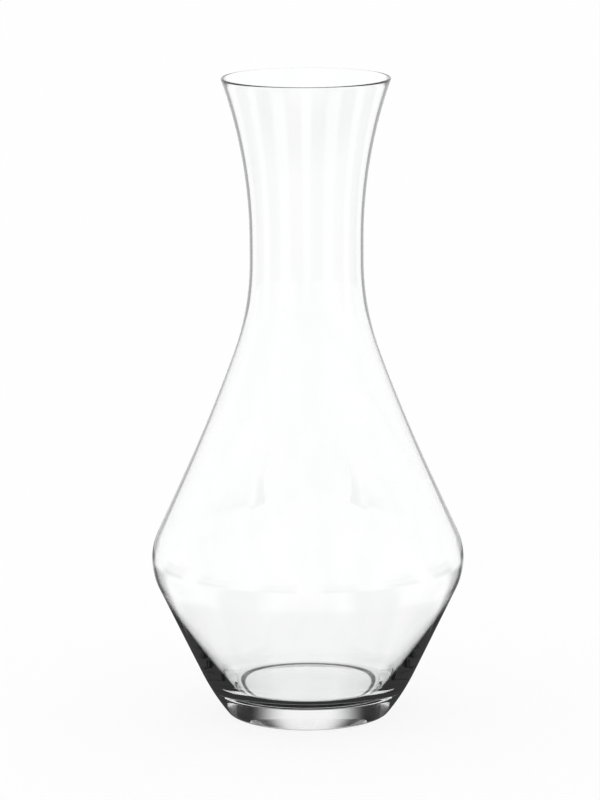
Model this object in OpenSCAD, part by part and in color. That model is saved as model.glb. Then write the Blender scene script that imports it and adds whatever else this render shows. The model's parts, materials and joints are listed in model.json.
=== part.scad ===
// Wide-bellied wine decanter of clear blown glass, standing on a thick base.
// Every wall is turned about Z. The table is the plane z = 0. Lengths are in millimetres, angles in degrees.
// The real glass is one piece. It is drawn here in zones from the lip to the base,
// and each zone meets the next face to face.

/* [Mouth and neck] */
// Height of the decanter, from the table to the top of the lip
height = 250; // [228:1:290]
// Outside diameter of the throat, the narrowest part of the neck
throat_d = 44; // [38:0.5:54]
// Length of the straight part of the throat
throat_len = 8; // [5:0.5:16]
// Height of the middle of the throat
throat_z = 183; // [172:0.5:200]
// Radius of the curve by which the mouth flares out
flare_r = 188; // [130:1:300]
// Depth of the lip zone, measured along the flare
lip_depth = 6; // [3:0.5:15]

/* [Body] */
// Radius of the curve from the throat into the shoulder
shoulder_r = 105; // [85:1:130]
// Slope off the vertical at which the tight shoulder curve ends
shoulder_turn = 20; // [17:0.1:23]
// Radius of the long, faint curve down the side
side_r = 650; // [400:5:900]
// Slope off the vertical of the straight side above the belly
side_slope = 24.4; // [23.1:0.1:26]
// Greatest outside diameter, at the belly
belly_d = 121.5; // [112:0.5:132]
// Radius of the belly's curve, seen from the side
belly_r = 24.5; // [18:0.5:32]

/* [Lower bowl and base] */
// Slope off the vertical of the outside below the belly
lower_slope = 25.9; // [22:0.1:30]
// Radius of the heel's curve
heel_r = 84; // [60:1:110]
// Slope off the vertical that the heel reaches at the table
heel_slope = 39.5; // [35:0.1:46]
// Radius of the worn edge between the heel and the table
foot_edge_r = 3; // [1:0.25:6]
// Width of the flat ring that the decanter stands on
bearing_w = 4; // [3:0.5:10]
// Height of the hollow under the base, at its middle
push_up = 0.5; // [0.3:0.1:3]

/* [Glass] */
// Thickness of the wall from the lip to the belly
wall = 1.1; // [0.8:0.1:2.4]
// Slope off the vertical of the inside, just below the belly
inner_slope = 24.6; // [21:0.1:28]
// Slope off the vertical that the inside reaches at the corner of the floor
inner_end_slope = 34.7; // [31:0.1:38]
// Height of the inner floor above the table
floor_z = 10.5; // [7:0.5:14]
// Radius of the corner between the inner floor and the wall
floor_corner_r = 11.5; // [5:0.5:16]

/* [Hidden] */
$fn = 160;
glass = [0.88, 0.94, 0.95, 0.45];

// Straight steps that stand for one curve of an outline
curve_steps = 14;
// Neighbouring points closer than this are one point
same_point = 0.001;

function dir(a) = [cos(a), sin(a)];

// Points along a circle about c, from angle a0 to angle a1
function arc(c, r, a0, a1) = [for (i = [0:curve_steps]) c + r * dir(a0 + (a1 - a0) * i / curve_steps)];

// Outline without the points that two neighbouring curves share
function outline(p) = [for (i = [0:len(p) - 1]) if (norm(p[i] - p[(i + 1) % len(p)]) > same_point) p[i]];

// Throat and flare: the flare's centre lies outside the wall, level with the throat's top
throat_r = throat_d / 2;
throat_top = throat_z + throat_len / 2;
throat_bottom = throat_z - throat_len / 2;
flare_c = [throat_r + flare_r, throat_top];
lip_r = wall / 2;
lip_a = 180 - asin((height - lip_r - throat_top) / (flare_r + lip_r));
lip_c = flare_c + (flare_r + lip_r) * dir(lip_a);
rim_a = lip_a + lip_depth / flare_r * 180 / PI;

// Shoulder: a tight curve, then a long faint one, each tangent to the last
shoulder_c = [throat_r + shoulder_r, throat_bottom];
shoulder_a = 180 + shoulder_turn;
side_c = shoulder_c + (shoulder_r - side_r) * dir(shoulder_a);
side_a = 180 + side_slope;
side_end = side_c + side_r * dir(side_a);

// Belly: its height follows from the straight side, which is tangent to the curves at both its ends
belly_c_r = belly_d / 2 - belly_r;
belly_top_r = belly_c_r + belly_r * cos(side_slope);
belly_top_z = side_end.y - (belly_top_r - side_end.x) / tan(side_slope);
belly_c = [belly_c_r, belly_top_z - belly_r * sin(side_slope)];

// Heel: tangent to the outside below the belly, and cut by the table at the heel's slope
lower_start = belly_c + belly_r * dir(-lower_slope);
function lower_r(z) = lower_start.x - (lower_start.y - z) * tan(lower_slope);
heel_z = heel_r * (sin(heel_slope) - sin(lower_slope));
heel_c = [lower_r(heel_z), heel_z] - heel_r * dir(-lower_slope);

// Foot: its worn edge is tangent to the heel and to the table
foot_reach = sqrt(pow(heel_r - foot_edge_r, 2) - pow(heel_c.y - foot_edge_r, 2));
foot_c = [heel_c.x + foot_reach, foot_edge_r];
foot_a = atan2(foot_c.y - heel_c.y, foot_reach);
bearing_in_r = foot_c.x - bearing_w;
push_up_r = (pow(bearing_in_r, 2) + pow(push_up, 2)) / (2 * push_up);
push_up_a = asin(bearing_in_r / push_up_r);

// Inside: a belly about the same centre, a long curve down the thickening wall, then the corner of the floor
belly_in_r = belly_r - wall;
inner_start = belly_c + belly_in_r * dir(-inner_slope);
corner_top_z = floor_z + floor_corner_r * (1 - sin(inner_end_slope));
inner_curve_r = (inner_start.y - corner_top_z) / (sin(inner_end_slope) - sin(inner_slope));
inner_c = inner_start - inner_curve_r * dir(-inner_slope);
corner_c = inner_c + (inner_curve_r - floor_corner_r) * dir(-inner_end_slope);

// Cuts: the belly ends where its wall stops being even, the base above the heel and the floor's corner
belly_cut = min(inner_slope, lower_slope);
base_top = max(heel_z, corner_top_z);
base_cut = asin((inner_c.y - base_top) / inner_curve_r);

// End of the flare, with its edge melted to a full round
module rim() {
  color(glass) rotate_extrude() polygon(outline(concat(
    arc(flare_c, flare_r, rim_a, lip_a),
    arc(lip_c, lip_r, lip_a - 180, lip_a),
    arc(flare_c, flare_r + wall, lip_a, rim_a)
  )));
}

// Straight throat with the flare above it, up to the lip zone
module neck() {
  color(glass) rotate_extrude() polygon(outline(concat(
    [[throat_r, throat_bottom]],
    arc(flare_c, flare_r, 180, rim_a),
    arc(flare_c, flare_r + wall, rim_a, 180),
    [[throat_r - wall, throat_bottom]]
  )));
}

// Tight curve out of the throat
module shoulder() {
  color(glass) rotate_extrude() polygon(outline(concat(
    arc(shoulder_c, shoulder_r, 180, shoulder_a),
    arc(shoulder_c, shoulder_r + wall, shoulder_a, 180)
  )));
}

// Long sloping wall, faintly curved and then straight, down to the belly
module side() {
  color(glass) rotate_extrude() polygon(outline(concat(
    arc(side_c, side_r, shoulder_a, side_a),
    [belly_c + belly_r * dir(side_slope)],
    [belly_c + belly_in_r * dir(side_slope)],
    arc(side_c, side_r + wall, side_a, shoulder_a)
  )));
}

// Round belly of even wall
module belly() {
  color(glass) rotate_extrude() polygon(outline(concat(
    arc(belly_c, belly_r, side_slope, -belly_cut),
    arc(belly_c, belly_in_r, -belly_cut, side_slope)
  )));
}

// Wall below the belly, which thickens towards the base
module bowl() {
  color(glass) rotate_extrude() polygon(outline(concat(
    arc(belly_c, belly_r, -belly_cut, -lower_slope),
    [[lower_r(base_top), base_top]],
    arc(inner_c, inner_curve_r, -base_cut, -inner_slope),
    arc(belly_c, belly_in_r, -inner_slope, -belly_cut)
  )));
}

// Thick glass under the inner floor, with the heel outside it and a shallow hollow beneath
module base() {
  color(glass) rotate_extrude() polygon(outline(concat(
    [[lower_r(base_top), base_top]],
    arc(heel_c, heel_r, -lower_slope, foot_a),
    arc(foot_c, foot_edge_r, foot_a, -90),
    arc([0, push_up - push_up_r], push_up_r, 90 - push_up_a, 90),
    [[0, floor_z]],
    arc(corner_c, floor_corner_r, -90, -inner_end_slope),
    arc(inner_c, inner_curve_r, -inner_end_slope, -base_cut)
  )));
}

rim();
neck();
shoulder();
side();
belly();
bowl();
base();
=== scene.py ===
"""A clear glass decanter on a plain white studio floor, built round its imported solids."""

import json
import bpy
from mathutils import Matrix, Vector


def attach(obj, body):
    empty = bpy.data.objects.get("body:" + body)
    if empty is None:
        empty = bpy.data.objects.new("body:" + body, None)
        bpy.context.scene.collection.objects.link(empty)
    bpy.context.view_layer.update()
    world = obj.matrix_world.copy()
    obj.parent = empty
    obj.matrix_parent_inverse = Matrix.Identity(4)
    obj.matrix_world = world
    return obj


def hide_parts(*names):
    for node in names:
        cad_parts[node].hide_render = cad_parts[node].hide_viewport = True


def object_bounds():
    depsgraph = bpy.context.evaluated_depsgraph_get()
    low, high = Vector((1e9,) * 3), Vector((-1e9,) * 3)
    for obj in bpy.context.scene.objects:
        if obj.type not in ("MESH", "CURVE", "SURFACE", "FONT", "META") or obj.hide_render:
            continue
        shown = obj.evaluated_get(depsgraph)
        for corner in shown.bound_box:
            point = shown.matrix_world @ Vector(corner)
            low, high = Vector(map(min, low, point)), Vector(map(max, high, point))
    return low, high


bl_info = {
    "name": "Glass Decanter",
    "version": (1, 0, 0),
    "blender": (4, 5, 0),
    "location": "View3D > Sidebar > Decanter",
    "description": "Blows a clear glass decanter as one closed surface and sets it in a white studio",
    "category": "Add Mesh",
}

from math import asin, atan2, cos, pi, radians, sin, sqrt, tan

import bpy
import numpy as np
from bpy.props import FloatProperty, FloatVectorProperty, IntProperty, PointerProperty
from mathutils import Matrix, Vector

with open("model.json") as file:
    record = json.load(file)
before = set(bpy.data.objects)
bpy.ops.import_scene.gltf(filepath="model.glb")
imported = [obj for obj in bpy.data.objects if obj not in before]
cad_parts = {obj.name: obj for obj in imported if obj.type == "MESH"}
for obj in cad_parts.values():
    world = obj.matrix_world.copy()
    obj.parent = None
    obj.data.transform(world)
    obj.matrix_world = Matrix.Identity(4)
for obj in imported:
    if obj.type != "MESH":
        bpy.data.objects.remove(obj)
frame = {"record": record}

CAD_BOX = [list(corner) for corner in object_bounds()]

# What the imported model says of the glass
GLASS_ZONES = ("base", "bowl", "belly", "side", "shoulder", "neck", "rim")
MOUNTS = {mount["name"]: mount for mount in frame["record"]["mounts"]}
THROAT_BORE = MOUNTS["throat"]["dims"]
TABLE_RING = MOUNTS["table"]["pos_m"][0]
MM = 0.001
WALL = 1.1 * MM

# Points of the outline closer than this are one point
SAME_POINT = 1e-7
# Fewest straight steps that stand for a curve
LEAST_STEPS = 10

# Detail of the noise behind the cords, the smears and the skin
CORD_DETAIL, SMEAR_DETAIL, SKIN_DETAIL = 3.0, 5.0, 1.0
# Noise values between which a cord takes its tint, and a smear its full haze
CORD_SPAN = (0.35, 0.65)
SMEAR_SPAN = (0.55, 0.8)

# Times that light may turn before it is given up: in all, through glass, and by mirroring inside it
ALL_TURNS, GLASS_TURNS, MIRROR_TURNS = 96, 24, 80
FLOOR_PAINT = (0.95, 0.95, 0.95, 1)
FLOOR_SIDES = 96
# The floor lies this far under the table's plane, so that the base's flat ring stays clear of it
FLOOR_DROP = 0.2 * MM
SENSOR_MM = 36


def length(name, description, default):
    """A size in metres that a user may change."""
    return FloatProperty(name=name, description=description, default=default, unit="LENGTH", precision=5)


def angle(name, description, degrees):
    """An angle that a user may change, given here in degrees."""
    return FloatProperty(name=name, description=description, default=radians(degrees), subtype="ANGLE")


def factor(name, description, default):
    """A share from 0 to 1 that a user may change."""
    return FloatProperty(name=name, description=description, default=default, min=0, max=1, subtype="FACTOR")


def colour(name, description, default):
    """A colour that a user may change."""
    return FloatVectorProperty(
        name=name, description=description, default=default, min=0, max=1, subtype="COLOR"
    )


def number(name, description, default):
    """A plain number that a user may change."""
    return FloatProperty(name=name, description=description, default=default)


class DecanterShape(bpy.types.PropertyGroup):
    """Sizes of the glass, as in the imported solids."""

    height: length("Height", "From the table to the top of the lip", CAD_BOX[1][2])
    wall: length("Wall", "Thickness of the glass from the lip to the belly", WALL)
    throat_r: length("Throat radius", "Outside radius at the narrowest part", THROAT_BORE["r_mm"] * MM + WALL)
    throat_z: length("Throat height", "Height of the middle of the throat", MOUNTS["throat"]["pos_m"][2])
    throat_len: length("Throat length", "Length of its straight part", THROAT_BORE["length_mm"] * MM)
    flare_r: length("Flare radius", "Curve by which the mouth flares out", 0.188)
    shoulder_r: length("Shoulder radius", "Curve from the throat into the shoulder", 0.105)
    shoulder_turn: angle("Shoulder turn", "Slope off the vertical where the shoulder curve ends", 20)
    side_r: length("Side radius", "Long faint curve down the side", 0.65)
    side_slope: angle("Side slope", "Slope off the vertical above the belly", 24.4)
    belly_d: length("Belly diameter", "Greatest outside diameter", 0.1215)
    belly_r: length("Belly curve", "Radius of the belly seen from the side", 0.0245)
    lower_slope: angle("Lower slope", "Slope off the vertical below the belly, outside", 25.9)
    heel_r: length("Heel radius", "Curve of the heel", 0.084)
    heel_slope: angle("Heel slope", "Slope off the vertical where the heel meets the table", 39.5)
    foot_edge_r: length("Foot edge", "Radius of the worn edge between heel and table", 0.003)
    bearing_w: length("Bearing ring", "Width of the flat ring that it stands on", 0.004)
    push_up: length("Push-up", "Height of the hollow under the base", 0.0005)
    inner_slope: angle("Inner slope", "Slope off the vertical just below the belly, inside", 24.6)
    inner_end_slope: angle("Inner end slope", "Slope off the vertical at the floor's corner, inside", 34.7)
    floor_z: length("Floor height", "Height of the inner floor above the table", 0.0105)
    floor_corner_r: length("Floor corner", "Radius between the inner floor and the wall", 0.0115)
    spacing: length("Spacing", "Longest step along the outline", 0.0022)
    turns: IntProperty(name="Turns", description="Steps round the axis", default=256, min=32)


class GlassLook(bpy.types.PropertyGroup):
    """Optics and finish of the clear glass."""

    ior: number("IOR", "Refractive index of soda-lime glass", 1.5)
    tint: colour("Tint", "Colour of the glass", (1, 1, 1))
    cord_tint: colour("Cord tint", "Colour of the drawn-out cords in it", (0.985, 0.995, 0.99))
    cord_scale: number("Cord scale", "How closely the cords lie, per metre", 90)
    draw: factor("Draw", "How far blowing has drawn the cords out along the axis; 0 is endless", 0.12)
    smear_scale: number("Smear scale", "How closely the smears lie, per metre", 28)
    haze: factor("Haze", "Most roughness that faint smears leave on the wall", 0.02)
    wall_rough: factor("Wall roughness", "Least roughness of the blown wall", 0.006)
    sharp_top: length("Sharp top", "Height up to which the base is perfectly sharp", 0.02)
    skin_scale: number("Skin scale", "How closely the soft waves of the skin lie, per metre", 70)
    skin_depth: length("Skin depth", "Height of those waves", 0.00001)


class CameraPlace(bpy.types.PropertyGroup):
    """Where the camera stands and what it takes in."""

    distance: length("Camera distance", "From the axis to the camera, along the floor", 1.76)
    height: length("Camera height", "Height of the camera over the table", 0.4611)
    aim_height: length("Aim height", "Height on the axis at the middle of the picture", 0.12426)
    aim_side: length("Aim aside", "How far the aim lies to the right of the axis", -0.0028)
    focal: FloatProperty(name="Focal length", description="Lens of the camera", default=207.96, unit="CAMERA")
    roll: angle("Roll", "Turn of the camera about its view", -0.25)


class WhiteRoom(bpy.types.PropertyGroup):
    """White floor and four white walls, how dark the glass shows their ends, and the shade painted into the
    floor's glow that only the glass shows.
    """

    floor_r: length("Floor radius", "Size of the round floor", 8.0)
    floor_glow: factor("Floor glow", "Share of the floor's white that no shadow dims", 0.85)
    wall_top: angle("Wall top", "How high the white walls rise", 43)
    ceiling: angle("Ceiling", "Where the walls have faded into the room above them", 48)
    top_light: factor("Top light", "White that is left above the walls, as the glass shows it", 0.08)
    wall_end: angle("Wall end", "Turn from a wall's middle at which its white starts to fade", 6)
    corner: angle("Corner", "Turn at which it has faded into the dark corner between two walls", 31)
    corner_light: factor("Corner light", "White left in the corners, as the sharp base shows them", 0.02)
    high_start: angle("High start", "Height at which light that the glass throws twice starts to dim", 20)
    high_end: angle("High end", "Height at which such light is dark", 28)
    # Painted shade in the thick glass: the room and the floor go this dark to light that the glass has thrown
    # back several times
    deep_light: factor("Deep light", "Light left after several throws inside the thick glass", 0.03)
    # Painted glints: within this radius the floor stays white to light thrown back three times by the glass,
    # which shows as streaks in the heel
    glint_r: length("Glint radius", "Radius of the floor that glints in the heel show", 0.044)

    gap_start: angle("Gap start", "Turn from a wall's middle at which the dim gap beside it starts", 4)
    gap_dark: angle("Gap dark", "Turn at which the gap is darkest", 12)
    gap_fade: angle("Gap fade", "Turn over which it lightens again", 12)
    gap_end: angle("Gap end", "Turn at which it has ended, on the floor", 40)
    gap_far: angle("Far gap", "Turn at which it has ended, far away", 27)
    horizon: angle("Horizon", "How high the gaps rise over the horizon", 7)
    gap_r: length("Gap radius", "Distance from the base at which the gaps start", 0.24)
    gap_r_fade: length("Gap radius fade", "Width over which they darken", 0.1)
    gap_light: factor("Gap light", "White that is left in the gaps", 0.25)
    mirror_start: length("Mirror start", "Distance at which the outside starts to mirror no gaps", 0.35)
    mirror_end: length("Mirror end", "Distance beyond which only the wall's inner face shows them", 0.5)
    far_start: length("Far start", "Where the floor starts to count as far away", 1.8)
    far_end: length("Far end", "Where it is far away", 2.6)
    far_light: factor("Far light", "White that is left in the gaps far away", 0.6)

    # Painted shade: a dark ring painted into the floor's glow round the vessel, seen only in light that the
    # glass mirrors or throws back
    ring_r: length("Ring radius", "Inner radius of the dark ring of floor that the glass mirrors", 0.025)
    ring_fade: length("Ring fade", "Width over which the ring darkens", 0.006)
    ring_end: length("Ring end", "Outer radius of that ring", 0.24)
    ring_out: length("Ring fade-out", "Width over which the ring lightens again", 0.1)
    ring_light: factor("Ring light", "White that is left in that ring", 0.06)
    near_r: length("Near radius", "Radius up to which the outside mirrors the ring all round", 0.085)
    near_fade: length("Near fade", "Width over which only its diagonals are left", 0.04)
    diagonal_start: factor("Diagonal start", "Where the ring starts to darken towards its diagonals", 0.36)
    diagonal_end: factor("Diagonal end", "Where it is dark", 0.6)
    inner_share: factor("Inner share", "How much of the diagonals the wall's inner face shows", 0.75)

    # Painted contact shadow: a dark line painted into the floor's glow where the base bears on the table,
    # seen only through the glass
    bearing: length("Bearing", "Width of the dark line where the base bears on the table", 0.0015)
    contact_light: factor("Contact light", "White that is left where the base bears on the table", 0.012)
    contact_fade: length("Contact fade", "Width over which that shade fades", 0.001)
    # Painted shade under the base, in the floor's glow, seen only through the glass
    under_r: length("Under radius", "Radius of the shade under the base", 0.031)
    under_light: factor("Under light", "White that is left under the base, seen through its floor", 0.88)


class Wire:
    """A socket that plain arithmetic can use; each operation adds a Math node behind it."""

    def __init__(self, graph, socket):
        self.graph = graph
        self.socket = socket

    def _math(self, operation, first, second):
        return self.graph.add("ShaderNodeMath", {0: first, 1: second}, operation=operation)

    def __add__(self, other):
        return self._math("ADD", self, other)

    def __rsub__(self, other):
        return self._math("SUBTRACT", other, self)

    def __mul__(self, other):
        return self._math("MULTIPLY", self, other)

    def __gt__(self, other):
        return self._math("GREATER_THAN", self, other)

    def __lt__(self, other):
        return self._math("LESS_THAN", self, other)

    __radd__ = __add__
    __rmul__ = __mul__

    def __abs__(self):
        return self._math("ABSOLUTE", self, 0)

    def lesser(self, other):
        """The smaller of two values."""
        return self._math("MINIMUM", self, other)

    def either(self, other):
        """The larger of two values, which is 'or' for masks."""
        return self._math("MAXIMUM", self, other)

    def at_least(self, count):
        """1 where a whole number is this count or more; the limit lies half-way below it."""
        return self > count - 0.5

    def at_most(self, count):
        """1 where a whole number is this count or less; the limit lies half-way above it."""
        return self < count + 0.5


class Graph:
    """A node tree that is filled from Python."""

    def __init__(self, tree):
        self.tree = tree
        tree.nodes.clear()

    def add(self, kind, inputs=None, output=0, **settings):
        """Adds a node: its settings first, then the values or links of its sockets.

        Returns one of its outputs as a Wire, or the node where it has none.
        """
        node = self.tree.nodes.new(kind)
        for name, value in settings.items():
            setattr(node, name, value)
        for name, value in (inputs or {}).items():
            if isinstance(value, Wire):
                self.tree.links.new(value.socket, node.inputs[name])
            else:
                node.inputs[name].default_value = value
        return Wire(self, node.outputs[output]) if len(node.outputs) else node


class LightTrail:
    """Masks for what light met on its way to the eye."""

    def __init__(self, graph):
        # How often the glass threw the light back, and how often it passed through a face of the glass
        self.thrown = graph.add("ShaderNodeLightPath", output="Glossy Depth")
        self.passed = graph.add("ShaderNodeLightPath", output="Transmission Depth")
        once = self.thrown.at_least(1) * self.thrown.at_most(1)
        # Mirrored by the outside, or thrown back once from within the glass
        self.outside = once * self.passed.at_most(0)
        self.inside = once * self.passed.at_least(1) * self.passed.at_most(2)
        # Thrown back so often inside the glass that the room and the floor show it painted dark
        self.often_thrown = self.thrown.at_least(4)
        self.deep = self.often_thrown.either(self.thrown.at_least(3) * self.passed.at_most(2))


def ramp(graph, value, start, end):
    """A smooth rise from 0 at the start to 1 at the end."""
    inputs = {"Value": value, "From Min": start, "From Max": end}
    return graph.add("ShaderNodeMapRange", inputs, interpolation_type="SMOOTHERSTEP")


def band(graph, value, start, full, fall, end):
    """A smooth rise from 0 at the start to 1, and a smooth fall from there to 0 at the end."""
    return ramp(graph, value, start, full) * (1 - ramp(graph, value, fall, end))


def dimmed(mask, light):
    """1 where the mask is 0, and the given light where the mask is 1."""
    return 1 - mask * (1 - light)


def noise(graph, vector, scale, detail):
    """Soft noise from 0 to 1; the scale is the number of its cells per metre."""
    return graph.add("ShaderNodeTexNoise", {"Vector": vector, "Scale": scale, "Detail": detail})


def off_walls(graph, place):
    """How far a direction lies off the middle of the nearest of four walls.

    The smaller of |x| and |y| over the level length: the sine of the turn from that middle.
    """
    flat = graph.add("ShaderNodeVectorMath", {0: place, 1: (1, 1, 0)}, operation="MULTIPLY")
    unit = graph.add("ShaderNodeVectorMath", {0: flat}, operation="NORMALIZE")
    x, y = (abs(graph.add("ShaderNodeSeparateXYZ", {0: unit}, output=axis)) for axis in "XY")
    return x.lesser(y)


def wall_gap(graph, aside, room, end):
    """The dim gap on both sides of each wall, as a band of the turn from the wall's middle."""
    return band(graph, aside, sin(room.gap_start), sin(room.gap_dark), sin(end - room.gap_fade), sin(end))


def arc(centre, radius, start, end, step):
    """Points on a circle from one angle to another: centre + radius (cos, sin)."""
    count = max(LEAST_STEPS, int(np.ceil(abs(end - start) * radius / step)))
    turn = np.linspace(start, end, count + 1)
    return np.stack([centre[0] + radius * np.cos(turn), centre[1] + radius * np.sin(turn)], axis=1)


def line(start, end, step):
    """Evenly spaced points on a straight line."""
    start, end = np.asarray(start), np.asarray(end)
    count = max(1, int(np.ceil(np.linalg.norm(end - start) / step)))
    return start + np.linspace(0, 1, count + 1)[:, None] * (end - start)


def toward(turn):
    """The unit vector at an angle, as (radius, height)."""
    return np.array([cos(turn), sin(turn)])


def glass_outline(s):
    """Radius and height along the glass, from the axis under the base to the axis on the inner floor.

    The outline runs under the base, up the outside, over the lip and down the inside. It has the tangent
    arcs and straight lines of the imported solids, and each starts where the last one ends. Tight curves get
    finer steps. s holds the sizes of DecanterShape.
    """
    throat_top, throat_bottom = s.throat_z + s.throat_len / 2, s.throat_z - s.throat_len / 2
    throat_in = s.throat_r - s.wall
    flare_c = np.array([s.throat_r + s.flare_r, throat_top])
    lip_r = s.wall / 2
    lip_a = pi - asin((s.height - lip_r - throat_top) / (s.flare_r + lip_r))
    lip_c = flare_c + (s.flare_r + lip_r) * toward(lip_a)
    shoulder_c = np.array([s.throat_r + s.shoulder_r, throat_bottom])
    shoulder_a, side_a = pi + s.shoulder_turn, pi + s.side_slope
    side_c = shoulder_c + (s.shoulder_r - s.side_r) * toward(shoulder_a)
    side_end = side_c + s.side_r * toward(side_a)
    belly_c_r = s.belly_d / 2 - s.belly_r
    belly_top_r = belly_c_r + s.belly_r * cos(s.side_slope)
    belly_top_z = side_end[1] - (belly_top_r - side_end[0]) / tan(s.side_slope)
    belly_c = np.array([belly_c_r, belly_top_z - s.belly_r * sin(s.side_slope)])
    belly_in = s.belly_r - s.wall
    lower_start = belly_c + s.belly_r * toward(-s.lower_slope)
    heel_z = s.heel_r * (sin(s.heel_slope) - sin(s.lower_slope))
    heel_top = np.array([lower_start[0] - (lower_start[1] - heel_z) * tan(s.lower_slope), heel_z])
    heel_c = heel_top - s.heel_r * toward(-s.lower_slope)
    foot_reach = sqrt((s.heel_r - s.foot_edge_r) ** 2 - (heel_c[1] - s.foot_edge_r) ** 2)
    foot_c = np.array([heel_c[0] + foot_reach, s.foot_edge_r])
    foot_a = atan2(foot_c[1] - heel_c[1], foot_reach)
    bearing_in = foot_c[0] - s.bearing_w
    push_up_r = (bearing_in**2 + s.push_up**2) / (2 * s.push_up)
    push_up_a = asin(bearing_in / push_up_r)
    inner_start = belly_c + belly_in * toward(-s.inner_slope)
    corner_top_z = s.floor_z + s.floor_corner_r * (1 - sin(s.inner_end_slope))
    inner_r = (inner_start[1] - corner_top_z) / (sin(s.inner_end_slope) - sin(s.inner_slope))
    inner_c = inner_start - inner_r * toward(-s.inner_slope)
    corner_c = inner_c + (inner_r - s.floor_corner_r) * toward(-s.inner_end_slope)
    step = s.spacing
    outside = [
        arc((0, s.push_up - push_up_r), push_up_r, pi / 2, pi / 2 - push_up_a, step),
        line((bearing_in, 0), (foot_c[0], 0), step / 2),
        arc(foot_c, s.foot_edge_r, -pi / 2, foot_a, step / 4),
        arc(heel_c, s.heel_r, foot_a, -s.lower_slope, step),
        line(heel_top, lower_start, step),
        arc(belly_c, s.belly_r, -s.lower_slope, s.side_slope, step / 2),
        line(belly_c + s.belly_r * toward(s.side_slope), side_end, step),
        arc(side_c, s.side_r, side_a, shoulder_a, step),
        arc(shoulder_c, s.shoulder_r, shoulder_a, pi, step),
        line((s.throat_r, throat_bottom), (s.throat_r, throat_top), step),
        arc(flare_c, s.flare_r, pi, lip_a, step),
        arc(lip_c, lip_r, lip_a - pi, lip_a - pi / 2, step / 10),
    ]
    inside = [
        arc(lip_c, lip_r, lip_a - pi / 2, lip_a, step / 10),
        arc(flare_c, s.flare_r + s.wall, lip_a, pi, step),
        line((throat_in, throat_top), (throat_in, throat_bottom), step),
        arc(shoulder_c, s.shoulder_r + s.wall, pi, shoulder_a, step),
        arc(side_c, s.side_r + s.wall, shoulder_a, side_a, step),
        line(side_c + (s.side_r + s.wall) * toward(side_a), belly_c + belly_in * toward(s.side_slope), step),
        arc(belly_c, belly_in, s.side_slope, -s.inner_slope, step / 2),
        arc(inner_c, inner_r, -s.inner_slope, -s.inner_end_slope, step),
        arc(corner_c, s.floor_corner_r, -s.inner_end_slope, -pi / 2, step / 3),
        line((corner_c[0], s.floor_z), (0, s.floor_z), step),
    ]
    points = np.concatenate(outside + inside)
    apart = np.linalg.norm(np.diff(points, axis=0), axis=1) > SAME_POINT
    return points[np.append(apart, True)]


def blown_glass(s):
    """Vertices and faces of the glass, with their normals outwards.

    The outline is turned about Z: (r cos t, r sin t, z). A fan of triangles closes each pole.
    """
    points = glass_outline(s)
    turn = np.linspace(0, 2 * pi, s.turns, endpoint=False)
    radius, height = points[1:-1, :1], points[1:-1, 1:]
    rings = np.stack(np.broadcast_arrays(radius * np.cos(turn), radius * np.sin(turn), height), axis=-1)
    poles = np.array([[0, 0, points[0, 1]], [0, 0, points[-1, 1]]])
    vertices = np.concatenate([rings.reshape(-1, 3), poles])
    order = np.arange(rings.shape[0] * s.turns).reshape(-1, s.turns)
    beside = np.roll(order, -1, axis=1)
    quads = np.stack([order[:-1], beside[:-1], beside[1:], order[1:]], axis=-1).reshape(-1, 4)
    under_pole, floor_pole = np.full(s.turns, order.size), np.full(s.turns, order.size + 1)
    below = np.stack([under_pole, beside[0], order[0]], axis=-1)
    above = np.stack([order[-1], beside[-1], floor_pole], axis=-1)
    return vertices, quads.tolist() + below.tolist() + above.tolist()


def clear_glass(look):
    """Clear soda-lime glass, with drawn-out cords of a second tint, a soft skin and faint smears on the wall.

    The base is perfectly sharp and the wall is not, by too little to see. The room tells by it which of the
    two the light met last.
    """
    material = bpy.data.materials.new("clear_glass")
    material.use_nodes = True
    graph = Graph(material.node_tree)
    place = graph.add("ShaderNodeTexCoord", output="Object")
    drawn = graph.add("ShaderNodeMapping", {"Vector": place, "Scale": (1, 1, look.draw)})
    cords = noise(graph, drawn, look.cord_scale, CORD_DETAIL)
    smears = noise(graph, place, look.smear_scale, SMEAR_DETAIL)
    skin = noise(graph, place, look.skin_scale, SKIN_DETAIL)
    tint = graph.add(
        "ShaderNodeMix",
        {"Factor": ramp(graph, cords, *CORD_SPAN), "A": (*look.tint, 1), "B": (*look.cord_tint, 1)},
        output="Result",
        data_type="RGBA",
    )
    height = graph.add("ShaderNodeSeparateXYZ", {0: place}, output="Z")
    rough = look.wall_rough + ramp(graph, smears, *SMEAR_SPAN) * look.haze
    normal = graph.add("ShaderNodeBump", {"Height": skin, "Strength": 1.0, "Distance": look.skin_depth})
    glass = graph.add(
        "ShaderNodeBsdfPrincipled",
        {
            "Base Color": tint,
            "Roughness": (height > look.sharp_top) * rough,
            "Normal": normal,
            "IOR": look.ior,
            "Transmission Weight": 1.0,
        },
    )
    graph.add("ShaderNodeOutputMaterial", {"Surface": glass})
    return material


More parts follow.
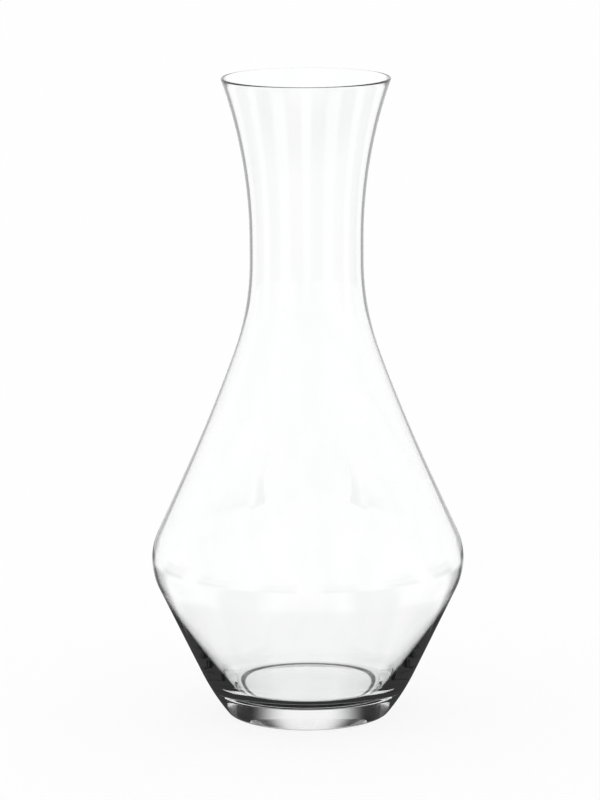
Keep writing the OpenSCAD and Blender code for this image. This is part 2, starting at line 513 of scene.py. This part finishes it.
def white_room(room):
    """World: white to the eye and through the thin wall.

    It is dimmer in the gaps that the edges of the glass show at the horizon, above the walls, in the corners
    that the sharp base shows, and where the glass has thrown the light about.
    """
    world = bpy.data.worlds.new("white_room")
    world.use_nodes = True
    world.cycles.sampling_method = "NONE"
    graph = Graph(world.node_tree)
    trail = LightTrail(graph)
    scattered = graph.add("ShaderNodeLightPath", output="Diffuse Depth")
    sharp = graph.add("ShaderNodeLightPath", output="Is Singular Ray")
    through = trail.thrown.at_most(1) * trail.passed.at_least(2) * scattered.at_most(0)
    base = through * trail.passed.at_most(2) * sharp
    twice = trail.thrown.at_least(2) * trail.thrown.at_most(2) * trail.passed.at_least(3)
    ray = graph.add("ShaderNodeTexCoord", output="Generated")
    rise = graph.add("ShaderNodeSeparateXYZ", {0: ray}, output="Z")
    horizon = 1 - ramp(graph, rise, 0, sin(room.horizon))
    above = ramp(graph, rise, sin(room.wall_top), sin(room.ceiling))
    high = ramp(graph, rise, sin(room.high_start), sin(room.high_end))
    aside = off_walls(graph, ray)
    corner = ramp(graph, aside, sin(room.wall_end), sin(room.corner))
    level = (
        dimmed(trail.inside * horizon * wall_gap(graph, aside, room, room.gap_far), room.far_light)
        * dimmed(trail.deep.either(twice * high), room.deep_light)
        * dimmed(base * corner, room.corner_light)
        * dimmed(through * above, room.top_light)
    )
    back = graph.add("ShaderNodeBackground", {"Color": level})
    graph.add("ShaderNodeOutputWorld", {"Surface": back})
    return world


def pale_floor(room):
    """Floor paint: an even white, and a share of matt white that real shadow falls on.

    The glass shows it dimmer in four places, as shade painted into the glow: the ring that its lower part
    mirrors, the gaps that its edges show, what the thick glass has thrown about (but for painted glints in
    the heel), and the ground under the base with its painted contact shadow.
    """
    material = bpy.data.materials.new("pale_floor")
    material.use_nodes = True
    material.cycles.emission_sampling = "NONE"
    graph = Graph(material.node_tree)
    trail = LightTrail(graph)
    outside, inside = trail.outside, trail.inside
    seen = trail.thrown.at_most(0) * trail.passed.at_least(2)
    place = graph.add("ShaderNodeTexCoord", output="Object")
    away = graph.add("ShaderNodeVectorMath", {0: place}, output="Value", operation="LENGTH")
    aside = off_walls(graph, place)

    # Painted shade: the dark ring round the vessel, seen only in light that the glass throws back
    ring = band(
        graph, away, room.ring_r, room.ring_r + room.ring_fade, room.ring_end, room.ring_end + room.ring_out
    )
    near = 1 - ramp(graph, away, room.near_r, room.near_r + room.near_fade)
    diagonal = ramp(graph, aside, room.diagonal_start, room.diagonal_end)
    dark = ring * (outside * near.either(diagonal) + inside * diagonal * room.inner_share)

    # Painted dark reflection: the floor's glow is dimmed in gaps beside each wall's middle, only for light
    # that the glass mirrors or throws back
    beyond = ramp(graph, away, room.gap_r, room.gap_r + room.gap_r_fade)
    mirrored = 1 - ramp(graph, away, room.mirror_start, room.mirror_end)
    far = ramp(graph, away, room.far_start, room.far_end)
    wide, narrow = (wall_gap(graph, aside, room, end) for end in (room.gap_end, room.gap_far))
    gap = wide * (1 - far) + narrow * far
    in_gap = (inside + outside * mirrored) * beyond * gap
    gap_light = room.gap_light + far * (room.far_light - room.gap_light)

    fade = room.contact_fade
    line_in, line_out = TABLE_RING - room.bearing / 2, TABLE_RING + room.bearing / 2
    # Painted contact shadow under the bearing ring, seen through the glass
    painted_contact_shadow = band(graph, away, line_in - fade, line_in, line_out, line_out + fade)
    # Painted shade under the base; light thrown back once inside the glass sees it as dark as the painted
    # contact shadow
    under = 1 - ramp(graph, away, room.under_r, room.under_r + fade)
    # Beyond the radius of the painted glints in the heel
    past = ramp(graph, away, room.glint_r, room.glint_r + fade)

    level = (
        dimmed(dark, room.ring_light)
        * dimmed(in_gap, gap_light)
        # Painted shade for light thrown about in the thick glass
        * dimmed(trail.often_thrown.either(trail.deep * past), room.deep_light)
        * dimmed((seen * painted_contact_shadow).either(inside * under), room.contact_light)
        * dimmed(seen * under, room.under_light)
    )
    glow = graph.add("ShaderNodeEmission", {"Color": level})
    matt = graph.add("ShaderNodeBsdfDiffuse", {"Color": FLOOR_PAINT})
    unshaded = outside.either(trail.passed.at_least(2)).either(room.floor_glow)
    paint = graph.add("ShaderNodeMixShader", {0: unshaded, 1: matt, 2: glow})
    graph.add("ShaderNodeOutputMaterial", {"Surface": paint})
    return material


class DECANTER_OT_glass(bpy.types.Operator):
    """Blow the decanter as one closed glass surface"""

    bl_idname = "decanter.glass"
    bl_label = "Glass"

    def execute(self, context):
        vertices, faces = blown_glass(context.scene.decanter_shape)
        mesh = bpy.data.meshes.new("glass_vessel")
        mesh.from_pydata(vertices.tolist(), [], faces)
        mesh.shade_smooth()
        mesh.materials.append(clear_glass(context.scene.decanter_glass))
        vessel = bpy.data.objects.new("glass_vessel", mesh)
        context.collection.objects.link(vessel)
        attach(vessel, "root")
        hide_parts(*GLASS_ZONES)
        return {"FINISHED"}


class DECANTER_OT_stage(bpy.types.Operator):
    """Set the white room, its floor and the camera"""

    bl_idname = "decanter.stage"
    bl_label = "Stage"

    def execute(self, context):
        scene = context.scene
        scene.view_settings.view_transform = "Standard"
        scene.cycles.max_bounces = ALL_TURNS
        scene.cycles.transmission_bounces = GLASS_TURNS
        scene.cycles.glossy_bounces = MIRROR_TURNS
        room = scene.decanter_room
        scene.world = white_room(room)
        turn = np.linspace(0, 2 * pi, FLOOR_SIDES, endpoint=False)
        x, y = room.floor_r * np.cos(turn), room.floor_r * np.sin(turn)
        edge = np.stack([x, y, np.full(FLOOR_SIDES, -FLOOR_DROP)], axis=1)
        mesh = bpy.data.meshes.new("floor")
        mesh.from_pydata(edge.tolist(), [], [list(range(FLOOR_SIDES))])
        mesh.materials.append(pale_floor(room))
        floor = bpy.data.objects.new("floor", mesh)
        context.collection.objects.link(floor)
        place = scene.decanter_camera
        camera = bpy.data.objects.new("camera", bpy.data.cameras.new("camera"))
        camera.data.lens = place.focal
        camera.data.sensor_width = SENSOR_MM
        camera.location = (0, -place.distance, place.height)
        view = Vector((place.aim_side, 0, place.aim_height)) - camera.location
        turned = view.to_track_quat("-Z", "Y").to_matrix() @ Matrix.Rotation(place.roll, 3, "Z")
        camera.rotation_euler = turned.to_euler()
        context.collection.objects.link(camera)
        scene.camera = camera
        return {"FINISHED"}


class DECANTER_PT_panel(bpy.types.Panel):
    """Buttons and sizes of the decanter"""

    bl_idname = "DECANTER_PT_panel"
    bl_label = "Decanter"
    bl_space_type = "VIEW_3D"
    bl_region_type = "UI"
    bl_category = "Decanter"

    def draw(self, context):
        scene = context.scene
        for operator, groups in (
            ("decanter.glass", (scene.decanter_shape, scene.decanter_glass)),
            ("decanter.stage", (scene.decanter_camera, scene.decanter_room)),
        ):
            self.layout.operator(operator)
            for group in groups:
                for name in type(group).__annotations__:
                    self.layout.prop(group, name)


GROUPS = {
    "decanter_shape": DecanterShape,
    "decanter_glass": GlassLook,
    "decanter_camera": CameraPlace,
    "decanter_room": WhiteRoom,
}
CLASSES = (*GROUPS.values(), DECANTER_OT_glass, DECANTER_OT_stage, DECANTER_PT_panel)


def register():
    for cls in CLASSES:
        bpy.utils.register_class(cls)
    for name, group in GROUPS.items():
        setattr(bpy.types.Scene, name, PointerProperty(type=group))


def unregister():
    for name in GROUPS:
        delattr(bpy.types.Scene, name)
    for cls in reversed(CLASSES):
        bpy.utils.unregister_class(cls)


def main():
    register()
    bpy.ops.decanter.stage()
    bpy.ops.decanter.glass()
    bpy.context.view_layer.update()


if __name__ == "__main__":
    main()
